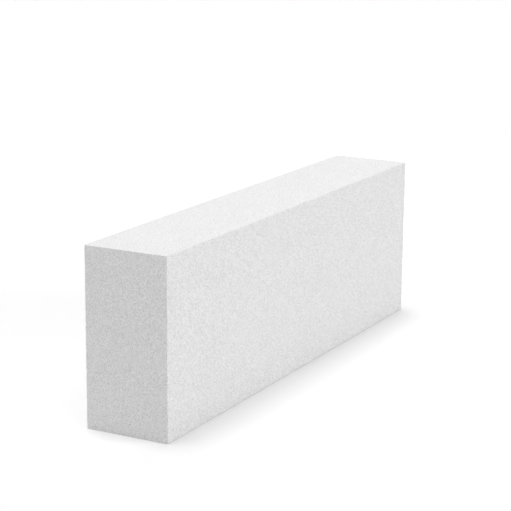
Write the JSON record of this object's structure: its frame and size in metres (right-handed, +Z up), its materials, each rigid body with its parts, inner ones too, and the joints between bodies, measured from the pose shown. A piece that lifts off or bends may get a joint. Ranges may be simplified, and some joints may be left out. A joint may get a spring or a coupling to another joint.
{
  "type": "aerated concrete block",
  "caption": "Solid plain-faced wall block of white aerated concrete, long, low and thin, standing on its long narrow bed face.",
  "frame": {"origin": "centre of the bed face that the block stands on, which is the middle of its underside", "axes": "+X along the length of the block, +Y through its thickness towards the hidden long face, +Z up"},
  "size_m": [0.6, 0.1, 0.2],
  "materials": {
    "aerated_concrete": "matte"
  },
  "bodies": {
    "root": {"block": "aerated_concrete"}
  },
  "joints": []
}
